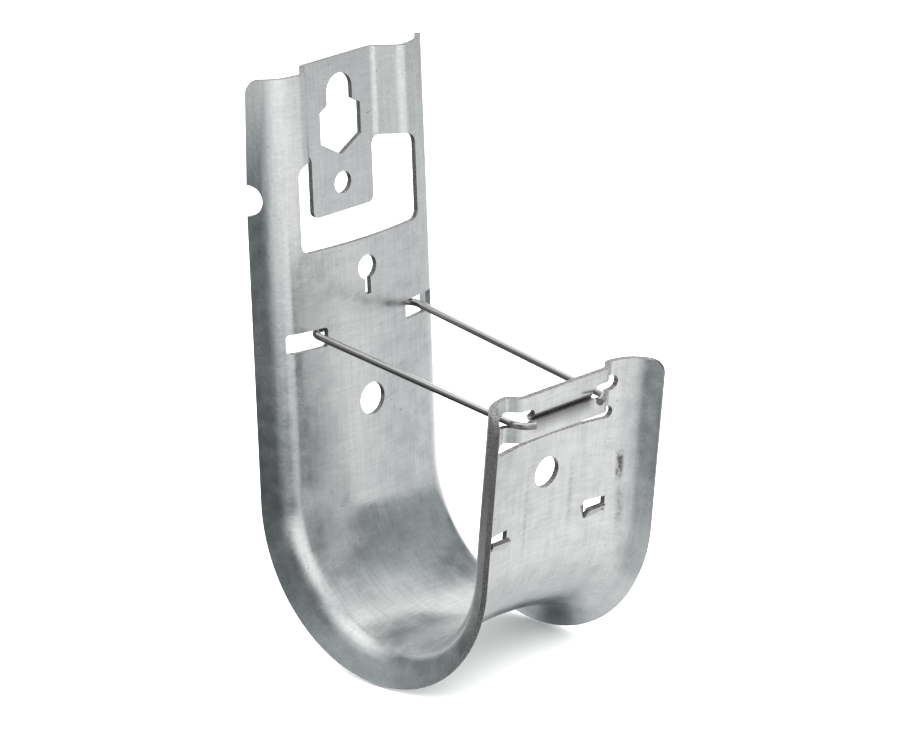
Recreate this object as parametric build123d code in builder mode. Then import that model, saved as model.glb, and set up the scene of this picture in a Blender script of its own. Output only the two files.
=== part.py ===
from build123d import *
from math import asin, atan2, cos, degrees, radians, sin, sqrt, tan
import os

# Cable J-hook: one formed steel strap and the wire retainer that closes its mouth.
# Millimetres, +Z up, X along the width, +Y toward the wall.
# Origin: centre of the screw hole, on the wall side of the fixing tab.

# Sheet and cross-section of the strap
sheet = 1.2
half_width = 25.6
crest_radius = 87.3
curl_radius = 8.36
curl_end_angle = 61.5
flange_length = 3.4

# The J: straight back, bottom bend, lip leaning outward
bend_radius = 24.0
lip_lean = 8.4
bend_centre_z = -65.86
crest_y = -7.62
plate_top_z = 27.8
top_curl_end_angle = 50.0
top_flange_length = 4.1
plate_corner = 3.0
lip_length = 38.9
lip_corner = 3.0

# Fixing tab standing back from the plate
tab_set = 6.42
tab_bottom_z = -6.21
tab_corner = 1.6
leg_bend_margin = 11.3
tab_riser_run = 4.4
tab_side_margin = 1.03
tab_bend_radius = 2.0
screw_hole_radius = 2.44
hexagon_across_flats = 11.8
hexagon_z = 13.04
hexagon_slot_width = 7.4
hexagon_slot_top_z = 24.14

# U opening round the tab
opening_margin = 8.4
opening_bottom_z = -11.16
opening_top_z = 8.34
opening_bottom_corner = 2.0
opening_top_corner = 2.8
opening_root_corner = 2.2

# Cuts in the back plate
keyhole_z = -17.56
keyhole_radius = 2.66
keyhole_slot_width = 1.6
keyhole_slot_end_z = -23.56
slot_margin = 4.1
slot_length = 9.9
slot_bottom_z = -32.51
slot_top_z = -28.24
slot_corner = 0.8
back_hole_z = -47.06
back_hole_radius = 3.57
notch_z = 1.44
notch_radius = 3.5

# Lip: distances run along the lip from the end of the bottom bend
lip_hole_at = 17.3
lip_hole_radius = 3.5
panel_set = 3.6
wing_bend_margin = 10.2
panel_riser_run = 2.4
panel_bend_radius = 1.3
lower_slot_margin = 8.6
lower_slot_start = 25.9
lower_slot_end = 28.8
arm_hole_margin = 7.8
arm_hole_length = 9.0
arm_hole_start = 32.3
arm_hole_end = 35.8
slit_start = 32.95
tongue_bend_at = 34.6
tongue_end = 32.95
tongue_dip = 1.35
tongue_bend_radius = 3.0
tongue_bend_start = 35.6

# Two small lanced ledges on the lip
ledge_margin = 8.6
ledge_width = 5.4
ledge_root = 4.3
ledge_window_end = 7.6
ledge_length = 2.0
ledge_tilt = 30.0
ledge_sheet = 1.0
ledge_side_gap = 0.2
ledge_overlap = 0.6

# Wire retainer
wire_diameter = 1.6
wire_bend_radius = 3.0
hook_bend_radius = 3.5
wire_gap = 0.1
bar_gap = 0.15
bar_z = -29.11
arm_rest_depth = 3.0
arm_inset_back = 3.24
arm_inset_left = 3.68
arm_inset_right = 6.39
arm_length = 61.7
hook_turn = 65.0
hook_tip = 3.4


# Places across the width, each a margin in from the flange edges or from a neighbour
leg_bend_x = half_width - leg_bend_margin
tab_bend_x = leg_bend_x - tab_riser_run
tab_half_width = tab_bend_x - tab_side_margin
opening_half_width = half_width - opening_margin
slot_outer_x = half_width - slot_margin
slot_inner_x = slot_outer_x - slot_length
wing_bend_x = half_width - wing_bend_margin
panel_bend_x = wing_bend_x - panel_riser_run
lower_slot_half_width = half_width - lower_slot_margin
arm_hole_outer_x = half_width - arm_hole_margin
arm_hole_inner_x = arm_hole_outer_x - arm_hole_length
ledge_outer_x = half_width - ledge_margin
arm_back_x = slot_inner_x + arm_inset_back
arm_front_left_x = -(arm_hole_outer_x - arm_inset_left)
arm_front_right_x = arm_hole_outer_x - arm_inset_right

# Middle line of the sheet, right half, in the section's own plane
middle_crest_radius = crest_radius - sheet / 2
middle_curl_radius = curl_radius - sheet / 2
edge_x = half_width - sheet / 2 * sin(radians(curl_end_angle))
flange_start_x = edge_x - flange_length * cos(radians(curl_end_angle))
crest_half_angle = degrees(
    asin(
        (flange_start_x - middle_curl_radius * sin(radians(curl_end_angle)))
        / (middle_crest_radius - middle_curl_radius)
    )
)
edge_depth = (
    crest_radius
    - middle_crest_radius * cos(radians(crest_half_angle))
    + middle_curl_radius * (cos(radians(crest_half_angle)) - cos(radians(curl_end_angle)))
    + flange_length * sin(radians(curl_end_angle))
)


# Straight run from a riser's foot to the crest, and the reach of the cuts through the strap
foot_run = 1.8
cut_start = 2.0
cut_depth = 14.0


def crest_depth(x):
    """Depth of the sheet's middle line below the crest plane at x."""
    return crest_radius - sqrt(middle_crest_radius**2 - x**2)


def add_curl(start_x, end_angle=curl_end_angle, length=flange_length):
    """Middle line from start_x on the crest out to the flange edge."""
    slope = degrees(atan2(start_x, sqrt(middle_crest_radius**2 - start_x**2)))
    tangent = (cos(radians(slope)), sin(radians(slope)))
    crest = JernArc((start_x, crest_depth(start_x)), tangent, middle_crest_radius, crest_half_angle - slope)
    curl = JernArc(crest @ 1, crest % 1, middle_curl_radius, end_angle - crest_half_angle)
    flange = Line(curl @ 1, curl @ 1 + curl % 1 * length)
    return flange @ 1


def plain_section(plane):
    """Strap section with a smooth crest."""
    with BuildSketch(plane) as section:
        with BuildLine():
            add_curl(0)
            mirror(about=Plane.YZ)
        trace(line_width=sheet)
    return section.sketch


def set_section(
    plane, face_set, high_x, low_x, side, inner_bend, end_angle=curl_end_angle, length=flange_length
):
    """Strap section with a flat middle set off the crest.

    side is +1 where face_set, high_x and low_x are taken on the inner face, -1 on the outer.
    """
    middle_set = face_set + side * sheet / 2
    riser = atan2(face_set - crest_depth(low_x) + side * sheet / 2, low_x - high_x)
    corner_x = high_x + side * sheet / 2 * tan(riser / 2)
    # Foot of the riser: where its line meets the crest's middle line
    steep = tan(riser)
    lift = crest_radius - middle_set - corner_x * steep
    foot_x = sqrt(middle_crest_radius**2 * (1 + steep**2) - lift**2) - lift * steep
    foot_x = foot_x / (1 + steep**2)
    foot_depth = crest_depth(foot_x)
    join_x = foot_x + foot_run
    with BuildSketch(plane) as section:
        with BuildLine():
            FilletPolyline(
                (0, middle_set),
                (corner_x, middle_set),
                (foot_x, foot_depth),
                (join_x, crest_depth(join_x)),
                radius=inner_bend + sheet / 2,
            )
            add_curl(join_x, end_angle, length)
            mirror(about=Plane.YZ)
        trace(line_width=sheet)
    return section.sketch


lean = radians(lip_lean)
bend_centre = Vector(0, crest_y - bend_radius, bend_centre_z)
lip_outward = Vector(0, -cos(lean), -sin(lean))
lip_up = Vector(0, -sin(lean), cos(lean))
lip_foot = bend_centre + lip_outward * bend_radius


def across_plate(z):
    """Level plane through the plate, its Y toward the wall from the crest."""
    return Plane(origin=(0, crest_y, z), x_dir=(1, 0, 0), z_dir=(0, 0, 1))


def across_lip(along):
    """Plane square to the lip, its Y outward from the crest."""
    return Plane(origin=lip_foot + lip_up * along, x_dir=(-1, 0, 0), z_dir=lip_up)


def on_plate(depth):
    """Upright plane depth behind the plate's crest, facing the cable side."""
    return Plane(origin=(0, crest_y + depth, 0), x_dir=(1, 0, 0), z_dir=(0, -1, 0))


def on_lip(depth):
    """Plane along the lip, depth outside its crest; its Y runs up the lip."""
    return Plane(origin=lip_foot + lip_outward * depth, x_dir=(1, 0, 0), z_dir=lip_outward)


step_z = 0
step_along = (lower_slot_start + lower_slot_end) / 2
arm_hole_width = arm_hole_end - arm_hole_start
arm_hole_x = (arm_hole_inner_x + arm_hole_outer_x) / 2
arm_hole_along = (arm_hole_start + arm_hole_end) / 2
slot_x = (slot_inner_x + slot_outer_x) / 2
slot_z = (slot_bottom_z + slot_top_z) / 2
ledge_x = ledge_outer_x - ledge_width / 2
tongue_half_width = arm_hole_inner_x + arm_hole_width / 2

# Strap, formed from one blank
with BuildPart() as hook_body:
    # Back plate below the tab's bends, then the band that carries them
    add(plain_section(across_plate(bend_centre_z)))
    extrude(amount=step_z - bend_centre_z)
    add(set_section(across_plate(step_z), tab_set, tab_bend_x, leg_bend_x, 1, tab_bend_radius))
    add(
        set_section(
            across_plate(plate_top_z),
            tab_set,
            tab_bend_x,
            leg_bend_x,
            1,
            tab_bend_radius,
            top_curl_end_angle,
            top_flange_length,
        )
    )
    loft(ruled=True)
    # Bottom bend
    add(plain_section(across_plate(bend_centre_z)))
    revolve(axis=Axis(bend_centre, (-1, 0, 0)), revolution_arc=180 - lip_lean)
    # Lip below its raised panel, then the panel
    add(plain_section(across_lip(0)))
    extrude(amount=step_along, dir=lip_up)
    add(set_section(across_lip(step_along), panel_set + sheet, panel_bend_x, wing_bend_x, -1, panel_bend_radius))
    extrude(amount=lip_length - step_along, dir=lip_up)

    # Corners of the four flange ends
    top_edge_x = (
        edge_x
        - flange_length * cos(radians(curl_end_angle))
        + middle_curl_radius * (sin(radians(top_curl_end_angle)) - sin(radians(curl_end_angle)))
        + top_flange_length * cos(radians(top_curl_end_angle))
    )
    top_ends = hook_body.edges().filter_by(
        lambda e: abs(abs(e.center().X) - top_edge_x) < 0.01
        and abs(e.center().Z - plate_top_z) < 0.01
        and abs(e.length - sheet) < 0.01
    )
    fillet(top_ends, radius=plate_corner)
    lip_end = lip_foot + lip_up * lip_length + lip_outward * edge_depth
    lip_ends = hook_body.edges().filter_by(
        lambda e: abs(abs(e.center().X) - edge_x) < 0.01
        and abs(e.center().Y - lip_end.Y) < 0.01
        and abs(e.center().Z - lip_end.Z) < 0.01
    )
    fillet(lip_ends, radius=lip_corner)

    # U opening that frees the tab
    with BuildSketch(on_plate(-cut_start)) as opening:
        with Locations((0, (opening_bottom_z + opening_top_z) / 2)):
            Rectangle(2 * opening_half_width, opening_top_z - opening_bottom_z)
        fillet(opening.vertices().group_by(Axis.Y)[0], radius=opening_bottom_corner)
        fillet(opening.vertices().group_by(Axis.Y)[-1], radius=opening_top_corner)
        with Locations((0, (step_z + opening_top_z) / 2)):
            Rectangle(2 * tab_half_width, opening_top_z - step_z, mode=Mode.SUBTRACT)
        roots = opening.vertices().filter_by(
            lambda v: abs(v.Y - opening_top_z) < 0.01 and abs(abs(v.X) - tab_half_width) < 0.01
        )
        fillet(roots, radius=opening_root_corner)
    extrude(amount=-cut_depth, mode=Mode.SUBTRACT)

    # Tab below the band
    with BuildSketch(on_plate(tab_set)) as tab:
        with Locations((0, (tab_bottom_z + step_z) / 2)):
            Rectangle(2 * tab_half_width, step_z - tab_bottom_z)
        fillet(tab.vertices().group_by(Axis.Y)[0], radius=tab_corner)
    extrude(amount=-sheet)

    # Screw hole and hexagon keyhole in the tab
    with BuildSketch(on_plate(-cut_start)) as tab_cuts:
        Circle(screw_hole_radius)
        with Locations((0, hexagon_z)):
            RegularPolygon(hexagon_across_flats / 2, 6, major_radius=False, rotation=30)
        with Locations((0, (hexagon_z + hexagon_slot_top_z - hexagon_slot_width / 2) / 2)):
            Rectangle(hexagon_slot_width, hexagon_slot_top_z - hexagon_slot_width / 2 - hexagon_z)
        with Locations((0, hexagon_slot_top_z - hexagon_slot_width / 2)):
            Circle(hexagon_slot_width / 2)
    extrude(amount=-cut_depth, mode=Mode.SUBTRACT)

    # Keyhole, wire slots and round hole in the plate
    with BuildSketch(on_plate(-cut_start)) as plate_cuts:
        with Locations((0, keyhole_z)):
            Circle(keyhole_radius)
        with Locations((0, (keyhole_z + keyhole_slot_end_z) / 2)):
            Rectangle(keyhole_slot_width, keyhole_z - keyhole_slot_end_z)
        with Locations((slot_x, slot_z), (-slot_x, slot_z)):
            RectangleRounded(slot_outer_x - slot_inner_x, slot_top_z - slot_bottom_z, slot_corner)
        with Locations((0, back_hole_z)):
            Circle(back_hole_radius)
    extrude(amount=-cut_depth, mode=Mode.SUBTRACT)

    # Half-round notches in the edges of the back flanges
    for side in (1, -1):
        flange_normal = Vector(side * sin(radians(curl_end_angle)), -cos(radians(curl_end_angle)), 0)
        notch_centre = Vector(side * edge_x, crest_y + edge_depth, notch_z)
        with BuildSketch(Plane(origin=notch_centre, x_dir=(0, 0, 1), z_dir=flange_normal)):
            Circle(notch_radius)
        extrude(amount=2, both=True, mode=Mode.SUBTRACT)

    # Round hole, lower slot, ledge windows and the gap for the tongue in the lip
    with BuildSketch(on_lip(-cut_start)) as lip_cuts:
        with Locations((0, lip_hole_at)):
            Circle(lip_hole_radius)
        with Locations((0, step_along)):
            SlotOverall(2 * lower_slot_half_width, lower_slot_end - lower_slot_start)
        with Locations(
            (ledge_x, (ledge_root + ledge_window_end) / 2), (-ledge_x, (ledge_root + ledge_window_end) / 2)
        ):
            Rectangle(ledge_width, ledge_window_end - ledge_root)
        with Locations((0, (slit_start + tongue_bend_start) / 2)):
            Rectangle(2 * tongue_half_width, tongue_bend_start - slit_start)
    extrude(amount=cut_depth, mode=Mode.SUBTRACT)

    # Tongue above the slit, dipping behind the strip below it
    with BuildSketch(Plane(origin=lip_foot, x_dir=lip_outward, z_dir=lip_outward.cross(lip_up))) as tongue:
        with BuildLine():
            FilletPolyline(
                (panel_set + sheet / 2, tongue_bend_start + sheet),
                (panel_set + sheet / 2, tongue_bend_at),
                (panel_set + sheet / 2 - tongue_dip, tongue_end),
                radius=tongue_bend_radius,
            )
        trace(line_width=sheet)
    extrude(amount=tongue_half_width, both=True)

    # Arm holes, which also round the tongue's sides
    with BuildSketch(on_lip(-cut_start)) as arm_holes:
        with Locations((arm_hole_x, arm_hole_along), (-arm_hole_x, arm_hole_along)):
            SlotOverall(arm_hole_length, arm_hole_width)
    extrude(amount=cut_depth, mode=Mode.SUBTRACT)

    # Ledges pressed out below the two small windows
    ledge_depth = crest_depth(ledge_x)
    for side in (1, -1):
        root = lip_foot + lip_up * (ledge_root - ledge_overlap) + lip_outward * ledge_depth
        root = root + Vector(side * ledge_x, 0, 0)
        tilt = radians(ledge_tilt)
        rise = lip_up * cos(tilt) + lip_outward * sin(tilt)
        with BuildSketch(Plane(origin=root, x_dir=(1, 0, 0), z_dir=rise)) as ledge:
            Rectangle(ledge_width - 2 * ledge_side_gap, ledge_sheet)
        extrude(amount=ledge_length + ledge_overlap)

# Retainer, one wire bent to a U; its arms lie in one plane and its tips curve inward
slot_end_back = crest_radius - sqrt((crest_radius - sheet) ** 2 - slot_inner_x**2)
bar = Vector(0, crest_y + slot_end_back + bar_gap + wire_diameter / 2, bar_z)
arm_rest = lip_foot + lip_outward * arm_rest_depth
arm_rest = arm_rest + lip_up * (arm_hole_start + wire_gap + wire_diameter / 2)
arm_drop = atan2(bar.Z - arm_rest.Z, bar.Y - arm_rest.Y)
arms_plane = Plane(origin=bar, x_dir=(1, 0, 0), z_dir=(0, sin(arm_drop), -cos(arm_drop)))


def arm_path(back_x, front_x, inward):
    """Half of the bar, one arm and its curved tip; inward is the sign of X toward the middle."""
    heading = atan2(front_x - back_x, arm_length) + inward * radians(hook_turn)
    middle = ((back_x + front_x) / 2, arm_length / 2)
    tip = (front_x + hook_tip * sin(heading), arm_length + hook_tip * cos(heading))
    FilletPolyline((0, 0), (back_x, 0), middle, radius=wire_bend_radius)
    FilletPolyline(middle, (front_x, arm_length), tip, radius=hook_bend_radius)


with BuildPart() as retainer_wire:
    with BuildLine(arms_plane) as wire_path:
        arm_path(-arm_back_x, arm_front_left_x, 1)
        arm_path(arm_back_x, arm_front_right_x, -1)
    with BuildSketch(Plane(origin=bar, x_dir=(0, 1, 0), z_dir=(1, 0, 0))) as wire_section:
        Circle(wire_diameter / 2)
    sweep()

os.makedirs("parts", exist_ok=True)
hook_body.part.label = "hook_body"
export_step(hook_body.part, "parts/hook_body.step")
retainer_wire.part.label = "retainer_wire"
export_step(retainer_wire.part, "parts/retainer_wire.step")
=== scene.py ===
"""Cable J-hook with its wire retainer: looks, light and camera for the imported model."""

import logging
import math
from dataclasses import dataclass, field
from enum import Enum

import bmesh
import bpy
from mathutils import Matrix, Vector
from mathutils.bvhtree import BVHTree

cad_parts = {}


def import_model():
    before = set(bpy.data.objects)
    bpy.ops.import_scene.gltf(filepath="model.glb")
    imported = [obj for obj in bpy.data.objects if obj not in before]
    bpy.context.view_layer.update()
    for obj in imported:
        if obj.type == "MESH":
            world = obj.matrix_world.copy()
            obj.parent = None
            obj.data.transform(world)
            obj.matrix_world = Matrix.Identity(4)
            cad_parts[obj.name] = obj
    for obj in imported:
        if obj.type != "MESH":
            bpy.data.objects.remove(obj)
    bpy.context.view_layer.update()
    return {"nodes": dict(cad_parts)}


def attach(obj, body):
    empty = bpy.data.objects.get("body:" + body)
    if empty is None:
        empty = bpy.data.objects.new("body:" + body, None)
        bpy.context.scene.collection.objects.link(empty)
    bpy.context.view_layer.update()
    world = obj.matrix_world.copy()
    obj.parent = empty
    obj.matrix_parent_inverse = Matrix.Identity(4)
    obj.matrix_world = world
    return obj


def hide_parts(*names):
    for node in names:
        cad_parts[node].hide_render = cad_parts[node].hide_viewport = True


LOG = logging.getLogger("j_hook")
MM = 0.001
FALLING = (1.0, 0.0)
CUT_EDGE = "cut_edge"

Range = tuple[float, float]
Triple = tuple[float, float, float]
Stops = tuple[tuple[float, float], ...]


class Body(Enum):
    """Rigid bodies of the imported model."""

    HOOK = "hook"
    RETAINER = "retainer"


class Slot(Enum):
    """Material slots of the record."""

    SHEET = "galvanised_sheet"
    WIRE = "spring_wire"


@dataclass(frozen=True)
class Pattern:
    """Noise pattern: its features per metre of the coordinates, and its octaves."""

    scale: float
    detail: float


def linear(code: str) -> tuple[float, float, float, float]:
    """Linearises an sRGB hex colour.

    Args:
        code: Colour such as "#c0c4c6".

    Returns:
        Linear red, green, blue and an alpha of 1.
    """
    values = []
    for start in (1, 3, 5):
        channel = int(code[start : start + 2], 16) / 255
        values.append(channel / 12.92 if channel <= 0.04045 else ((channel + 0.055) / 1.055) ** 2.4)
    return values[0], values[1], values[2], 1.0


def add_object(name: str, data: bpy.types.ID) -> bpy.types.Object:
    """Adds an object to the scene.

    Args:
        name: Name of the object.
        data: Its mesh, curve, light or camera.

    Returns:
        The object.
    """
    made = bpy.data.objects.new(name, data)
    bpy.context.scene.collection.objects.link(made)
    return made


def smooth(mesh: bpy.types.Mesh, sharp_degrees: float) -> None:
    """Shades a mesh smooth but for its sharp edges.

    Args:
        mesh: The mesh.
        sharp_degrees: Angle between faces from which an edge stays sharp.
    """
    mesh.polygons.foreach_set("use_smooth", [True] * len(mesh.polygons))
    mesh.set_sharp_from_angle(angle=math.radians(sharp_degrees))


class ShaderBuilder:
    """Adds and links shader nodes in one material or world."""

    def __init__(self, name: str, world: bool = False) -> None:
        """Starts a node tree with its default shader.

        Args:
            name: Name of the material or world.
            world: True for a world.
        """
        self.owner = bpy.data.worlds.new(name) if world else bpy.data.materials.new(name)
        self.owner.use_nodes = True
        self.tree = self.owner.node_tree
        self.shader = self.tree.nodes["Background" if world else "Principled BSDF"]
        self.surface = self.tree.nodes["World Output" if world else "Material Output"].inputs["Surface"]

    def node(
        self, kind: str, inputs: dict[str | int, object] | None = None, **settings: object
    ) -> bpy.types.Node:
        """Adds a node.

        Args:
            kind: Node type name.
            inputs: Values or output sockets by the input's name or number.
            settings: Properties of the node.

        Returns:
            The new node.
        """
        made = self.tree.nodes.new(kind)
        for key, value in settings.items():
            setattr(made, key, value)
        for key, value in (inputs or {}).items():
            self.feed(made.inputs[key], value)
        return made

    def feed(self, socket: bpy.types.NodeSocket, value: object) -> None:
        """Links an output to a socket, or sets the socket's value.

        Args:
            socket: Input socket.
            value: Output socket, number or colour.
        """
        if isinstance(value, bpy.types.NodeSocket):
            self.tree.links.new(value, socket)
        else:
            socket.default_value = value

    def noise(self, where: bpy.types.NodeSocket, pattern: Pattern) -> bpy.types.NodeSocket:
        """Noise value at a place.

        Args:
            where: Coordinates.
            pattern: The noise's pattern.

        Returns:
            The noise's factor.
        """
        inputs = {"Vector": where, "Scale": pattern.scale, "Detail": pattern.detail}
        return self.node("ShaderNodeTexNoise", inputs).outputs["Fac"]

    def stretched(self, where: bpy.types.NodeSocket, scale: Triple) -> bpy.types.NodeSocket:
        """Coordinates scaled by axis.

        Args:
            where: Coordinates.
            scale: Factors along X, Y and Z.

        Returns:
            The scaled coordinates.
        """
        return self.node("ShaderNodeMapping", {"Vector": where, "Scale": scale}).outputs["Vector"]

    def split(self, vector: bpy.types.NodeSocket) -> dict[str, bpy.types.NodeSocket]:
        """Parts of a vector.

        Args:
            vector: The vector.

        Returns:
            Its parts by the names "X", "Y" and "Z".
        """
        return dict(self.node("ShaderNodeSeparateXYZ", {"Vector": vector}).outputs.items())

    def remap(self, value: object, source: Range, target: Range = (0.0, 1.0)) -> bpy.types.NodeSocket:
        """Maps one range of a value to another, clamped.

        Args:
            value: Value to map.
            source: Start and end of the value's range.
            target: Results at the start and at the end.

        Returns:
            The mapped value.
        """
        ends = {"From Min": source[0], "From Max": source[1], "To Min": target[0], "To Max": target[1]}
        return self.node("ShaderNodeMapRange", {"Value": value, **ends}).outputs["Result"]

    def calc(self, operation: str, first: object, *others: object) -> bpy.types.NodeSocket:
        """Math nodes on numbers or sockets, from left to right.

        Args:
            operation: Name of the operation.
            first: First operand.
            others: Further operands, none for an operation on one value.

        Returns:
            The result.
        """
        result = first
        for other in others or (None,):
            made = self.node("ShaderNodeMath", operation=operation)
            self.feed(made.inputs[0], result)
            if other is not None:
                self.feed(made.inputs[1], other)
            result = made.outputs[0]
        return result

    def distance(self, value: bpy.types.NodeSocket, centre: float) -> bpy.types.NodeSocket:
        """Distance of a value from a centre.

        Args:
            value: The value.
            centre: The centre.

        Returns:
            The distance, never below 0.
        """
        return self.calc("ABSOLUTE", self.calc("SUBTRACT", value, centre))

    def between(self, share: object, first: object, second: object) -> bpy.types.NodeSocket:
        """Goes from one number to another by a share.

        Args:
            share: 0 for the first, 1 for the second.
            first: First number.
            second: Second number.

        Returns:
            The number between.
        """
        made = self.node("ShaderNodeMix", {0: share, 2: first, 3: second}, data_type="FLOAT")
        return made.outputs[0]

    def blend(self, share: object, first: object, second: object) -> bpy.types.NodeSocket:
        """Goes from one colour to another by a share.

        Args:
            share: 0 for the first, 1 for the second.
            first: First colour.
            second: Second colour.

        Returns:
            The colour between.
        """
        made = self.node("ShaderNodeMix", {0: share, 6: first, 7: second}, data_type="RGBA")
        return made.outputs[2]

    def show_to_metal(self, seen: bpy.types.Node) -> None:
        """Lets reflections see another shader than everything else does.

        Args:
            seen: Node whose shader the reflections see.
        """
        path = self.node("ShaderNodeLightPath")
        mixed = self.node("ShaderNodeMixShader", {"Fac": path.outputs["Is Glossy Ray"]})
        self.feed(mixed.inputs[1], self.shader.outputs[0])
        self.feed(mixed.inputs[2], seen.outputs[0])
        self.feed(self.surface, mixed.outputs[0])


@dataclass(frozen=True)
class Surroundings:
    """What polished metal sees of the studio: brightness by direction round the hook.

    The floor has rings from below the hook out to the horizon, and the world goes from the horizon to the
    top. Angles are in degrees from the front, positive toward the left. Each stop is an angle and a
    brightness. A reach is where a ring starts to show and where it is fully there, in metres.
    """

    under: Stops = (
        (-180, 0.30), (-130, 0.40), (-108, 0.34), (-90, 0.08), (-72, 0.45), (-50, 0.70), (-30, 0.70),
        (-10, 0.52), (10, 0.40), (30, 0.40), (50, 0.62), (90, 0.50), (180, 0.30),
    )
    near: Stops = (
        (-180, 0.30), (-150, 0.50), (-128, 1.35), (-110, 1.00), (-90, 0.72), (-70, 0.64), (-50, 0.80),
        (-30, 0.93), (-10, 0.80), (10, 0.75), (28, 0.64), (40, 0.46), (54, 0.25), (70, 0.27), (85, 0.11),
        (110, 0.08), (150, 0.08), (180, 0.20),
    )
    far: Stops = (
        (-180, 0.35), (-150, 0.80), (-132, 1.42), (-112, 0.62), (-90, 0.70), (-65, 0.69), (-45, 0.73),
        (-28, 0.80), (-10, 1.05), (10, 1.02), (30, 1.00), (50, 0.98), (66, 0.74), (79, 0.31), (92, 0.12),
        (110, 0.12), (132, 0.22), (150, 0.40), (180, 0.40),
    )
    horizon: Stops = (
        (-180, 0.22), (-150, 0.42), (-130, 0.96), (-112, 0.58), (-92, 0.22), (-72, 0.37), (-50, 0.32),
        (-30, 0.26), (-12, 0.54), (6, 0.82), (28, 1.06), (48, 0.60), (66, 0.13), (90, 0.17), (112, 0.41),
        (138, 0.40), (160, 0.24), (180, 0.20),
    )
    top: Stops = (
        (-180, 0.95), (-150, 0.95), (-110, 1.14), (-80, 0.94), (-50, 0.76), (-30, 0.74), (-10, 0.80),
        (30, 0.68), (50, 0.72), (70, 1.10), (130, 1.20), (160, 1.10), (180, 0.95),
    )
    near_reach: Range = (0.02, 0.05)
    far_reach: Range = (0.15, 0.30)
    horizon_reach: Range = (0.42, 0.66)
    top_height: Range = (0.60, 0.96)
    gain: float = 1.135
    curve_top: float = 2.0
    bright_tint: str = "#f9faf9"
    dark_tint: str = "#dfebf0"
    tint_range: Range = (0.15, 0.95)

    def turn(self, s: ShaderBuilder, parts: dict[str, bpy.types.NodeSocket]) -> bpy.types.NodeSocket:
        """Angle of a direction round the hook, as the share of a turn that a ramp reads.

        Args:
            s: Node tree in work.
            parts: Parts of the direction.

        Returns:
            0 to 1 for angles from -180 to 180 degrees.
        """
        left, front = (s.calc("MULTIPLY", parts[axis], -1.0) for axis in "XY")
        return s.remap(s.calc("ARCTAN2", left, front), (-math.pi, math.pi))

    def ramp(self, s: ShaderBuilder, turn: bpy.types.NodeSocket, stops: Stops) -> bpy.types.NodeSocket:
        """Brightness by angle.

        Args:
            s: Node tree in work.
            turn: Share of a turn.
            stops: Angle and brightness pairs.

        Returns:
            The brightness.
        """
        made = s.node("ShaderNodeFloatCurve", {"Value": turn})
        points = made.mapping.curves[0].points
        made.mapping.use_clip = False
        while len(points) < len(stops):
            points.new(0.5, 0.5)
        for point, (degrees, value) in zip(points, stops):
            point.location = ((degrees + 180) / 360, value / self.curve_top)
            point.handle_type = "AUTO_CLAMPED"
        made.mapping.update()
        return s.calc("MULTIPLY", made.outputs["Value"], self.curve_top * self.gain)

    def show(self, s: ShaderBuilder, kind: str, glow: bpy.types.NodeSocket) -> None:
        """Shows a brightness to the metal, cooler where it is dark.

        Args:
            s: Node tree in work.
            kind: Type of the node that gives off the light.
            glow: The brightness.
        """
        share = s.remap(glow, self.tint_range)
        tint = s.blend(share, linear(self.dark_tint), linear(self.bright_tint))
        s.show_to_metal(s.node(kind, {"Color": tint, "Strength": glow}))

    def on_floor(self, s: ShaderBuilder, place: bpy.types.NodeSocket) -> None:
        """Shows the floor's rings to the metal.

        Args:
            s: Node tree of the floor.
            place: Place on the floor, from the middle of the rings.
        """
        away = s.node("ShaderNodeVectorMath", {0: place}, operation="LENGTH").outputs["Value"]
        turn = self.turn(s, s.split(place))
        glow = self.ramp(s, turn, self.under)
        rings = (
            (self.near, self.near_reach),
            (self.far, self.far_reach),
            (self.horizon, self.horizon_reach),
        )
        for stops, reach in rings:
            glow = s.between(s.remap(away, reach), glow, self.ramp(s, turn, stops))
        self.show(s, "ShaderNodeEmission", glow)

    def in_world(self, s: ShaderBuilder, direction: bpy.types.NodeSocket) -> None:
        """Shows the world from the horizon to the top to the metal.

        Args:
            s: Node tree of the world.
            direction: Direction of view.
        """
        parts = s.split(direction)
        turn = self.turn(s, parts)
        rise = s.remap(parts["Z"], self.top_height)
        glow = s.between(rise, self.ramp(s, turn, self.horizon), self.ramp(s, turn, self.top))
        self.show(s, "ShaderNodeBackground", glow)


@dataclass(frozen=True)
class Mark:
    """Scuff left by the forming tools on the lip's front.

    It has its centre and half sizes in metres, its depth of tone, and the shares of its half sizes that
    have the full tone.
    """

    x: float
    z: float
    half_width: float
    half_height: float
    strength: float
    core_width: float = 0.3
    core_height: float = 0.5

    def share(self, s: ShaderBuilder, at: dict[str, bpy.types.NodeSocket]) -> bpy.types.NodeSocket:
        """Share of scuffed metal in the mark.

        Args:
            s: Node tree in work.
            at: Parts of the object coordinates.

        Returns:
            The share, 0 to 1.
        """
        across = (self.core_width * self.half_width, self.half_width)
        upright = (self.core_height * self.half_height, self.half_height)
        return s.calc(
            "MULTIPLY",
            s.remap(s.distance(at["X"], self.x), across, (self.strength, 0.0)),
            s.remap(s.distance(at["Z"], self.z), upright, FALLING),
        )


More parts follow.
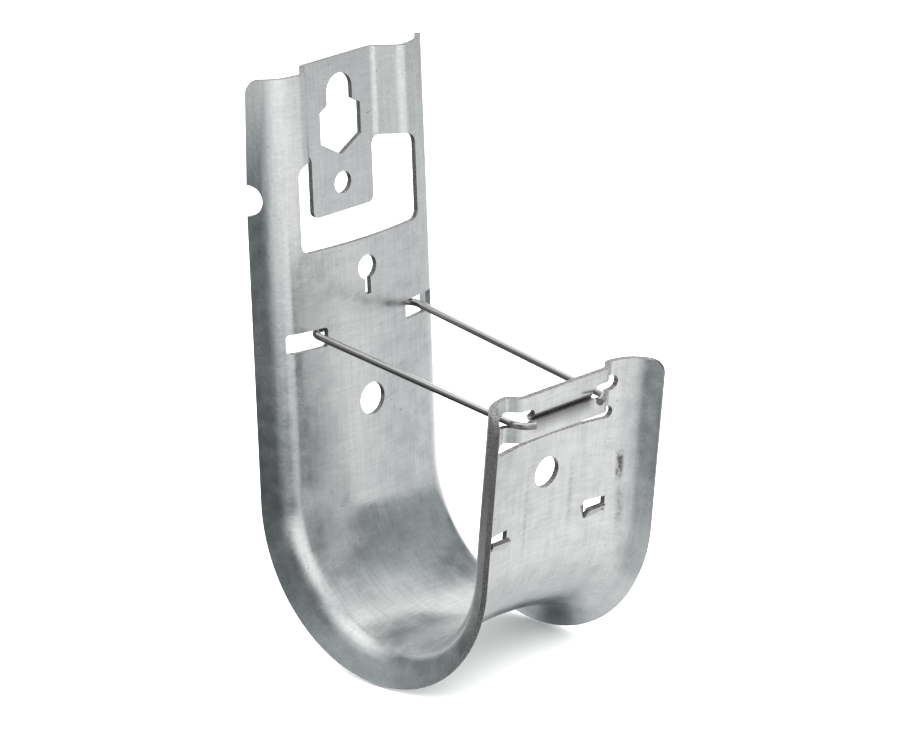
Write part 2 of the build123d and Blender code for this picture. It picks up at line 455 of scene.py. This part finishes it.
@dataclass(frozen=True)
class GalvanisedSheet:
    """Zinc-coated sheet with drawn streaks, soft mottling, cut edges and worn patches, and painted shade
    under the lip's upper slit and on its left flange.
    """

    light: str = "#e4e5e5"
    dark: str = "#cdcecf"
    tone_range: Range = (0.38, 0.62)
    streaks: Pattern = Pattern(1600.0, 3.0)
    stretch_along: Triple = (1.0, 0.06, 0.06)
    stretch_across: Triple = (0.08, 1.0, 1.0)
    across_share: float = 0.5
    mottle: Pattern = Pattern(260.0, 4.0)
    mottle_share: float = 0.45
    roughness: Range = (0.18, 0.30)
    roughness_mottle: Range = (0.3, 0.7)
    grain: Pattern = Pattern(900.0, 3.0)
    relief_streaks: float = 0.4
    relief_strength: float = 0.42
    relief_depth: float = 0.08 * MM

    cut_light: str = "#b6b5b4"
    cut_dark: str = "#848280"
    cut_roughness: float = 0.4
    specks: Pattern = Pattern(2400.0, 3.0)
    speck_range: Range = (0.42, 0.60)

    # Colour of the tool scuffs and pits, also used for the painted shade under the slit and on the left
    # flange.
    scuff_and_shade: str = "#4a4846"
    lip_front_y: Range = (-52 * MM, -50 * MM)
    lip_front_facing: Range = (-0.3, 0.0)
    ragged: Pattern = Pattern(1100.0, 4.0)
    ragged_range: Range = (0.38, 0.60)
    ragged_share: Range = (0.25, 1.0)
    pits: Pattern = Pattern(1300.0, 1.0)
    pit_range: Range = (0.745, 0.80)
    pit_share: float = 0.5
    marks: tuple[Mark, ...] = (
        Mark(19.8 * MM, -55.8 * MM, 1.0 * MM, 3.8 * MM, 0.9),
        Mark(20.3 * MM, -65.3 * MM, 1.0 * MM, 6.2 * MM, 0.34),
        Mark(7.4 * MM, -59.0 * MM, 0.9 * MM, 9.5 * MM, 0.26),
        Mark(-5.6 * MM, -60.0 * MM, 0.6 * MM, 12.0 * MM, 0.24),
    )

    # Painted shade under the lip's upper slit: its depth, the heights over which it grows toward the
    # slit, and the slit's place.
    slit_shade_share: float = 0.8
    slit_shade_z: Range = (-40.6 * MM, -37.4 * MM)
    slit_z: Range = (-37.1 * MM, -37.0 * MM)
    slit_centre_x: float = -0.5 * MM
    slit_half_width: Range = (7.5 * MM, 10.0 * MM)

    # Painted shade on the inside and the edge of the lip's left flange: its depth and where it lies.
    flange_shade_share: float = 0.72
    flange_centre_z: float = -55 * MM
    flange_half_height: Range = (19 * MM, 32 * MM)
    flange_x: Range = (-23.8 * MM, -23.0 * MM)
    flange_y: Range = (-54 * MM, -48 * MM)
    flange_facing: Range = (-0.42, -0.25)

    def build(self, name: str) -> bpy.types.Material:
        """Makes the material.

        Args:
            name: Name of the material.

        Returns:
            The material.
        """
        s = ShaderBuilder(name)
        coordinates = s.node("ShaderNodeTexCoord").outputs
        place = coordinates["Object"]
        at, facing = s.split(place), s.split(coordinates["Normal"])
        cut = s.node("ShaderNodeAttribute", attribute_name=CUT_EDGE).outputs["Fac"]

        along = s.noise(s.stretched(place, self.stretch_along), self.streaks)
        across = s.noise(s.stretched(place, self.stretch_across), self.streaks)
        streak = s.between(self.across_share, along, across)
        mottle = s.noise(place, self.mottle)
        tone = s.remap(s.between(self.mottle_share, streak, mottle), self.tone_range)
        rolled = s.blend(tone, linear(self.dark), linear(self.light))
        # Real scuffs and pits, plus painted shade under the lip's upper slit.
        worn_and_shaded = s.blend(self.scuffed_and_shaded(s, place, at, facing), rolled, linear(self.scuff_and_shade))
        speck = s.remap(s.noise(place, self.specks), self.speck_range)
        sheared = s.blend(speck, linear(self.cut_dark), linear(self.cut_light))
        metal = s.blend(cut, worn_and_shaded, sheared)
        # Painted shade on the lip's left flange, in the scuff colour.
        colour = s.blend(self.shaded_flange(s, at, facing), metal, linear(self.scuff_and_shade))
        s.feed(s.shader.inputs["Base Color"], colour)
        s.feed(s.shader.inputs["Metallic"], 1.0)

        rough = s.remap(mottle, self.roughness_mottle, self.roughness)
        s.feed(s.shader.inputs["Roughness"], s.between(cut, rough, self.cut_roughness))
        height = s.between(self.relief_streaks, s.noise(place, self.grain), streak)
        relief = {"Height": height, "Strength": self.relief_strength, "Distance": self.relief_depth}
        s.feed(s.shader.inputs["Normal"], s.node("ShaderNodeBump", relief).outputs["Normal"])
        return s.owner

    def scuffed_and_shaded(
        self,
        s: ShaderBuilder,
        place: bpy.types.NodeSocket,
        at: dict[str, bpy.types.NodeSocket],
        facing: dict[str, bpy.types.NodeSocket],
    ) -> bpy.types.NodeSocket:
        """Share of darkened metal: tool scuffs and painted shade under the upper slit on the lip's front,
        and sparse pits all over.

        Args:
            s: Node tree in work.
            place: Object coordinates.
            at: Parts of the object coordinates.
            facing: Parts of the piece's own normal.

        Returns:
            The share, 0 to 1.
        """
        front = s.calc(
            "MULTIPLY",
            s.remap(at["Y"], self.lip_front_y, FALLING),
            s.remap(facing["Y"], self.lip_front_facing, FALLING),
        )
        ragged = s.remap(s.noise(place, self.ragged), self.ragged_range, self.ragged_share)
        tools = s.calc("MAXIMUM", *(mark.share(s, at) for mark in self.marks))
        marked = s.calc("MULTIPLY", tools, front, ragged)
        # Painted shade under the lip's upper slit.
        painted_slit_shade = s.calc("MULTIPLY", self.shade_under_slit(s, at), front)
        pits = s.remap(s.noise(place, self.pits), self.pit_range, (0.0, self.pit_share))
        return s.calc("MAXIMUM", marked, painted_slit_shade, pits)

    def shade_under_slit(self, s: ShaderBuilder, at: dict[str, bpy.types.NodeSocket]) -> bpy.types.NodeSocket:
        """Share of painted shade on the lip's panel, where it dips in under its upper slit.

        Args:
            s: Node tree in work.
            at: Parts of the object coordinates.

        Returns:
            The share, fading out downward and toward the slit's ends.
        """
        return s.calc(
            "MULTIPLY",
            s.remap(at["Z"], self.slit_shade_z, (0.0, self.slit_shade_share)),
            s.remap(at["Z"], self.slit_z, FALLING),
            s.remap(s.distance(at["X"], self.slit_centre_x), self.slit_half_width, FALLING),
        )

    def shaded_flange(
        self,
        s: ShaderBuilder,
        at: dict[str, bpy.types.NodeSocket],
        facing: dict[str, bpy.types.NodeSocket],
    ) -> bpy.types.NodeSocket:
        """Share of painted shade on the inside and the edge of the lip's left flange.

        Args:
            s: Node tree in work.
            at: Parts of the object coordinates.
            facing: Parts of the piece's own normal.

        Returns:
            The share, 0 to 1.
        """
        off_z = s.distance(at["Z"], self.flange_centre_z)
        return s.calc(
            "MULTIPLY",
            s.remap(off_z, self.flange_half_height, (self.flange_shade_share, 0.0)),
            s.remap(at["X"], self.flange_x, FALLING),
            s.remap(at["Y"], self.flange_y, FALLING),
            s.remap(facing["X"], self.flange_facing, FALLING),
        )


@dataclass(frozen=True)
class DrawnWire:
    """Plated spring wire with fine lines along it, with a painted highlight on its upper side and painted
    shade below.
    """

    # Colours of the painted highlight on top and of the painted shade underneath.
    light: str = "#f3f1ef"
    dark: str = "#858180"
    roughness: float = 0.2
    lines: Pattern = Pattern(2500.0, 2.0)
    line_stretch: Triple = (1.0, 0.05, 1.0)
    line_range: Range = (0.3, 0.7)
    line_share: float = 0.15
    # Upward facing over which the wire goes from painted shade to painted highlight.
    painted_highlight_facing: Range = (0.38, 0.86)

    def build(self, name: str) -> bpy.types.Material:
        """Makes the material.

        Args:
            name: Name of the material.

        Returns:
            The material.
        """
        s = ShaderBuilder(name)
        coordinates = s.node("ShaderNodeTexCoord").outputs
        lines = s.noise(s.stretched(coordinates["Object"], self.line_stretch), self.lines)
        facing = s.split(coordinates["Normal"])
        # Painted highlight where the wire faces up and painted shade where it faces down, plus real fine
        # lines.
        tone = s.calc(
            "ADD",
            s.remap(facing["Z"], self.painted_highlight_facing, (0.0, 1.0 - self.line_share)),
            s.remap(lines, self.line_range, (0.0, self.line_share)),
        )
        s.feed(s.shader.inputs["Base Color"], s.blend(tone, linear(self.dark), linear(self.light)))
        s.feed(s.shader.inputs["Metallic"], 1.0)
        s.feed(s.shader.inputs["Roughness"], self.roughness)
        return s.owner


@dataclass
class Strap:
    """Formed strap: the CAD node, welded, smoothed and finished."""

    node: str = "hook_body"
    finish: GalvanisedSheet = field(default_factory=GalvanisedSheet)
    weld: float = 0.002 * MM
    sharp_degrees: float = 28.0
    rolled_limit: float = 1.7 * MM
    probe_depth: float = 0.01 * MM

    def build(self, nodes: dict[str, bpy.types.Object]) -> bpy.types.Object:
        """Copies the node's mesh, welds it and gives it its finish.

        Args:
            nodes: CAD nodes by name.

        Returns:
            The strap.
        """
        mesh = nodes[self.node].data.copy()
        mesh.name = "strap"
        if "custom_normal" in mesh.attributes:
            mesh.attributes.remove(mesh.attributes["custom_normal"])
        work = bmesh.new()
        work.from_mesh(mesh)
        bmesh.ops.remove_doubles(work, verts=work.verts, dist=self.weld)
        bmesh.ops.dissolve_degenerate(work, edges=work.edges, dist=self.weld)
        bmesh.ops.recalc_face_normals(work, faces=work.faces)
        work.to_mesh(mesh)
        work.free()
        self.mark_cut_edges(mesh)
        mesh.materials.clear()
        mesh.materials.append(self.finish.build("galvanised_sheet"))
        smooth(mesh, self.sharp_degrees)
        strap = add_object("strap", mesh)
        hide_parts(self.node)
        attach(strap, Body.HOOK.value)
        return strap

    def mark_cut_edges(self, mesh: bpy.types.Mesh) -> None:
        """Stores 1 on the faces where the sheet was cut, 0 on its rolled faces.

        A face is rolled where the sheet's other side lies within the limit behind it.

        Args:
            mesh: Mesh of the strap.
        """
        tree = BVHTree.FromPolygons([v.co for v in mesh.vertices], [p.vertices for p in mesh.polygons])
        marks = []
        for face in mesh.polygons:
            inside = face.center - face.normal * self.probe_depth
            _, _, _, through = tree.ray_cast(inside, -face.normal)
            marks.append(0.0 if through is not None and through < self.rolled_limit else 1.0)
        mesh.attributes.new(CUT_EDGE, "FLOAT", "FACE").data.foreach_set("value", marks)


@dataclass
class Retainer:
    """Wire retainer, swept along its path by a Geometry Nodes tree.

    Its plane turns down toward the front from the bar behind the plate. In that plane a point has its X
    and its distance from the bar.
    """

    radius: float = 0.8 * MM
    bar: Triple = (0.0, -4.685 * MM, -29.11 * MM)
    drop_degrees: float = 7.64
    back_x: float = 14.84 * MM
    front_left_x: float = -14.12 * MM
    front_right_x: float = 11.41 * MM
    arm_length: float = 61.7 * MM
    back_bend: float = 3.0 * MM
    front_bend: float = 3.5 * MM
    turn_degrees: float = 65.0
    tip_length: float = 3.4 * MM
    bend_steps: int = 14
    sides: int = 24
    sharp_degrees: float = 40.0
    finish: DrawnWire = field(default_factory=DrawnWire)

    def tip(self, back_x: float, front_x: float, inward: int) -> Vector:
        """End of a tip in the wire's plane.

        Args:
            back_x: Where the arm meets the bar.
            front_x: Where the arm's line ends.
            inward: Sign of X toward the middle.

        Returns:
            The end point.
        """
        heading = math.atan2(front_x - back_x, self.arm_length) + inward * math.radians(self.turn_degrees)
        return Vector((front_x, self.arm_length)) + self.tip_length * Vector(
            (math.sin(heading), math.cos(heading))
        )

    def route(self) -> list[Vector]:
        """Points of the wire's middle line.

        Returns:
            Points in the frame's coordinates, from the left tip to the right tip.
        """
        corners = [
            self.tip(-self.back_x, self.front_left_x, 1),
            Vector((self.front_left_x, self.arm_length)),
            Vector((-self.back_x, 0.0)),
            Vector((self.back_x, 0.0)),
            Vector((self.front_right_x, self.arm_length)),
            self.tip(self.back_x, self.front_right_x, -1),
        ]
        radii = [self.front_bend, self.back_bend, self.back_bend, self.front_bend]
        flat = [corners[0]]
        for before, corner, after, radius in zip(corners, corners[1:], corners[2:], radii):
            flat.extend(self.bend(before, corner, after, radius))
        flat.append(corners[-1])
        drop = math.radians(self.drop_degrees)
        ahead = Vector((0.0, -math.cos(drop), -math.sin(drop)))
        return [Vector(self.bar) + Vector((point.x, 0.0, 0.0)) + ahead * point.y for point in flat]

    def bend(self, before: Vector, corner: Vector, after: Vector, radius: float) -> list[Vector]:
        """Points of a round bend at a corner, in the wire's plane.

        Args:
            before: Corner before this one.
            corner: The corner.
            after: Corner after this one.
            radius: Radius of the bend.

        Returns:
            Points along the bend.
        """
        back = (before - corner).normalized()
        ahead = (after - corner).normalized()
        half = back.angle(ahead) / 2
        centre = corner + (back + ahead).normalized() * (radius / math.sin(half))
        start = corner + back * (radius / math.tan(half)) - centre
        end = corner + ahead * (radius / math.tan(half)) - centre
        sweep = start.angle_signed(end)
        return [
            centre + Matrix.Rotation(-sweep * step / self.bend_steps, 2) @ start
            for step in range(self.bend_steps + 1)
        ]

    def tree(self, material: bpy.types.Material) -> bpy.types.GeometryNodeTree:
        """Geometry Nodes tree that sweeps a round section along a curve.

        Args:
            material: Finish of the wire.

        Returns:
            The tree.
        """
        tree = bpy.data.node_groups.new("wire_sweep", "GeometryNodeTree")
        for name, kind in (("Geometry", "Geometry"), ("Radius", "Float"), ("Sides", "Int")):
            tree.interface.new_socket(name, in_out="INPUT", socket_type=f"NodeSocket{kind}")
        tree.interface.new_socket("Geometry", in_out="OUTPUT", socket_type="NodeSocketGeometry")
        nodes, links = tree.nodes, tree.links
        entry = nodes.new("NodeGroupInput")
        circle = nodes.new("GeometryNodeCurvePrimitiveCircle")
        sweep = nodes.new("GeometryNodeCurveToMesh")
        sweep.inputs["Fill Caps"].default_value = True
        real = nodes.new("GeometryNodeRealizeInstances")
        paint = nodes.new("GeometryNodeSetMaterial")
        paint.inputs["Material"].default_value = material
        leave = nodes.new("NodeGroupOutput")
        links.new(entry.outputs["Radius"], circle.inputs["Radius"])
        links.new(entry.outputs["Sides"], circle.inputs["Resolution"])
        links.new(entry.outputs["Geometry"], sweep.inputs["Curve"])
        links.new(circle.outputs["Curve"], sweep.inputs["Profile Curve"])
        links.new(sweep.outputs["Mesh"], real.inputs["Geometry"])
        links.new(real.outputs["Geometry"], paint.inputs["Geometry"])
        links.new(paint.outputs["Geometry"], leave.inputs["Geometry"])
        return tree

    def swept(self) -> bpy.types.Mesh:
        """Sweeps the wire along its route.

        Returns:
            The wire's plain mesh.
        """
        points = self.route()
        curve = bpy.data.curves.new("wire_path", "CURVE")
        curve.dimensions = "3D"
        line = curve.splines.new("POLY")
        line.points.add(len(points) - 1)
        for target, point in zip(line.points, points):
            target.co = (*point, 1.0)
        path = add_object("wire_path", curve)
        modifier = path.modifiers.new("sweep", "NODES")
        modifier.node_group = self.tree(self.finish.build("spring_wire"))
        values = {"Radius": self.radius, "Sides": self.sides}
        for socket in modifier.node_group.interface.items_tree:
            if socket.name in values:
                modifier[socket.identifier] = values[socket.name]
        made = path.evaluated_get(bpy.context.evaluated_depsgraph_get())
        mesh = bpy.data.meshes.new_from_object(made)
        bpy.data.objects.remove(path)
        return mesh

    def build(self) -> bpy.types.Object:
        """Makes the wire a finished piece.

        Returns:
            The retainer.
        """
        mesh = self.swept()
        mesh.name = "retainer"
        smooth(mesh, self.sharp_degrees)
        wire = add_object("retainer", mesh)
        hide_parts("retainer_wire")
        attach(wire, Body.RETAINER.value)
        return wire


@dataclass(frozen=True)
class Panel:
    """Soft rectangular light: place and size in metres, power in watts."""

    name: str
    place: Triple
    size: tuple[float, float]
    power: float


@dataclass
class Studio:
    """White studio: floor, soft lights, world and the photograph's camera.

    The aim shows in the picture at the offset from its middle, to the right and upward in metres. The
    camera's angles are in degrees.
    """

    focal_px: float = 6136.0
    frame_width_px: int = 900
    sensor_width: float = 36.0
    clip: Range = (0.05, 30.0)
    azimuth: float = 44.468
    elevation: float = 18.318
    roll: float = -2.147
    distance: float = 1319.6 * MM
    offset: tuple[float, float] = (-15.82 * MM, -23.85 * MM)
    aim: Triple = (0.0, -7.62 * MM, -65.86 * MM)
    floor_place: Triple = (0.0, -35.0 * MM, -99.6 * MM)
    floor_half_size: float = 6.0
    floor_colour: str = "#f6f6f6"
    floor_roughness: float = 0.9
    sky_strength: float = 2.4
    light_aim: Triple = (0.0, -0.035, -0.04)
    panels: tuple[Panel, ...] = (
        Panel("key", (-0.9, -1.2, 1.6), (1.2, 1.2), 20.0),
        Panel("top", (0.2, 0.3, 1.9), (1.6, 1.6), 16.0),
    )
    around: Surroundings = field(default_factory=Surroundings)

    def camera(self) -> None:
        """Puts the camera at the photograph's place."""
        a, e, r = (math.radians(v) for v in (self.azimuth, self.elevation, self.roll))
        ahead = Vector((math.sin(a) * math.cos(e), math.cos(a) * math.cos(e), -math.sin(e)))
        level = Vector((math.cos(a), -math.sin(a), 0.0))
        upright = level.cross(ahead)
        right = math.cos(r) * level + math.sin(r) * upright
        up = -math.sin(r) * level + math.cos(r) * upright
        data = bpy.data.cameras.new("camera")
        data.sensor_width = self.sensor_width
        data.lens = self.focal_px / self.frame_width_px * self.sensor_width
        data.clip_start, data.clip_end = self.clip
        camera = add_object("camera", data)
        turn = Matrix((right, up, -ahead)).transposed().to_4x4()
        place = Vector(self.aim) - self.offset[0] * right - self.offset[1] * up - self.distance * ahead
        camera.matrix_world = Matrix.Translation(place) @ turn
        bpy.context.scene.camera = camera

    def light(self, panel: Panel) -> None:
        """Adds a soft light aimed at the hook, which the metal doesn't show.

        Args:
            panel: The light.
        """
        data = bpy.data.lights.new(panel.name, "AREA")
        data.shape = "RECTANGLE"
        data.size, data.size_y = panel.size
        data.energy = panel.power
        light = add_object(panel.name, data)
        light.location = panel.place
        light.visible_glossy = False
        toward = Vector(self.light_aim) - Vector(panel.place)
        light.rotation_euler = toward.to_track_quat("-Z", "Y").to_euler()

    def floor(self) -> None:
        """Adds the white floor; in the metal it shows the studio round the hook."""
        work = bmesh.new()
        bmesh.ops.create_grid(work, x_segments=1, y_segments=1, size=self.floor_half_size)
        mesh = bpy.data.meshes.new("floor")
        work.to_mesh(mesh)
        work.free()
        s = ShaderBuilder("floor")
        s.feed(s.shader.inputs["Base Color"], linear(self.floor_colour))
        s.feed(s.shader.inputs["Roughness"], self.floor_roughness)
        self.around.on_floor(s, s.node("ShaderNodeTexCoord").outputs["Object"])
        mesh.materials.append(s.owner)
        floor = add_object("floor", mesh)
        floor.location = self.floor_place

    def world(self) -> None:
        """Makes the world white to the camera, soft to the floor and a studio to the metal."""
        s = ShaderBuilder("studio", world=True)
        s.feed(s.shader.inputs["Color"], linear("#ffffff"))
        s.feed(s.shader.inputs["Strength"], self.sky_strength)
        self.around.in_world(s, s.node("ShaderNodeTexCoord").outputs["Generated"])
        bpy.context.scene.world = s.owner

    def build(self) -> None:
        """Sets up floor, world, lights and camera."""
        self.floor()
        self.world()
        for panel in self.panels:
            self.light(panel)
        self.camera()
        bpy.context.scene.view_settings.view_transform = "Standard"


def main() -> None:
    """Builds the scene's pieces in order."""
    logging.basicConfig(level=logging.INFO)
    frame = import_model()
    for piece in (Strap().build(frame["nodes"]), Retainer().build()):
        LOG.info("piece %s: %d faces", piece.name, len(piece.data.polygons))
    Studio().build()


if __name__ == "__main__":
    main()
